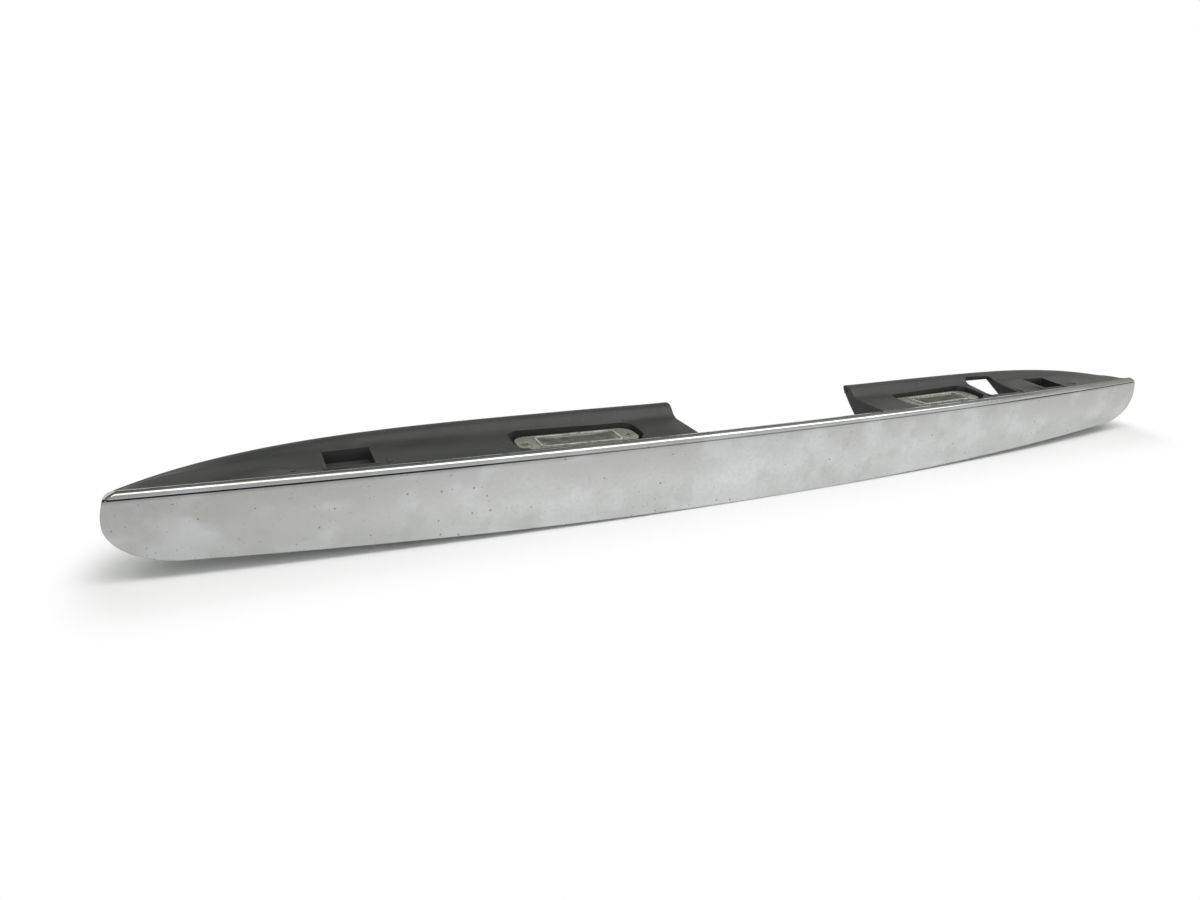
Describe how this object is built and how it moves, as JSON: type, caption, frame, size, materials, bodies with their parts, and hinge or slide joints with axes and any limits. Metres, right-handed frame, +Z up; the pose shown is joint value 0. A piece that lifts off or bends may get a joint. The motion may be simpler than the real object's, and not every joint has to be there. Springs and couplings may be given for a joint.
{
  "type": "boot-lid finisher with number-plate lamps",
  "caption": "Long bowed chrome bar for a car's boot lid, with a rolled lip, a dark moulded shelf behind it cut away in the middle, and recessed number-plate lamps.",
  "frame": {"origin": "bottom centre of the box round the whole bar, as it stands on the bench", "axes": "+X along the bar, +Y from the chrome face towards the boot lid, +Z up, the way the lamps face as it lies"},
  "size_m": [0.7626, 0.0567, 0.0542],
  "materials": {
    "plated_chrome": "bright plating over plastic, lightly pitted and dusty",
    "black_moulding": "fine-grained, satin, dusty",
    "smoky_lens": "clear lens dulled by age",
    "seal_rubber": "soft, matt",
    "foam": "closed-cell foam, matt",
    "housing_plastic": "moulded, satin",
    "bulb_glass": "clear",
    "bulb_metal": "nickel-plated",
    "tungsten": "drawn wire",
    "brass": "stamped, bright",
    "bright_tin": "polished inside",
    "screw_steel": "passivated, dull",
    "zinc_steel": "zinc-plated",
    "spring_steel": "phosphated",
    "nylon": "natural nylon"
  },
  "bodies": {
    "root": {"bulb_caps": "bulb_metal", "bulb_contacts": "brass", "bulb_filaments": "tungsten", "chrome_face": "plated_chrome", "inner_moulding": "black_moulding", "lamp_reflectors": "bright_tin", "lamp_screws": "screw_steel", "left_bulb_glass": "bulb_glass", "left_edge_seal": "foam", "left_lamp_gasket": "seal_rubber", "left_lamp_housing": "housing_plastic", "left_lamp_lens": "smoky_lens", "mounting_studs": "zinc_steel", "push_clips": "nylon", "right_bulb_glass": "bulb_glass", "right_edge_seal": "foam", "right_lamp_gasket": "seal_rubber", "right_lamp_housing": "housing_plastic", "right_lamp_lens": "smoky_lens", "rim_seal": "foam", "star_washers": "spring_steel", "stud_seals": "foam"}
  },
  "joints": []
}
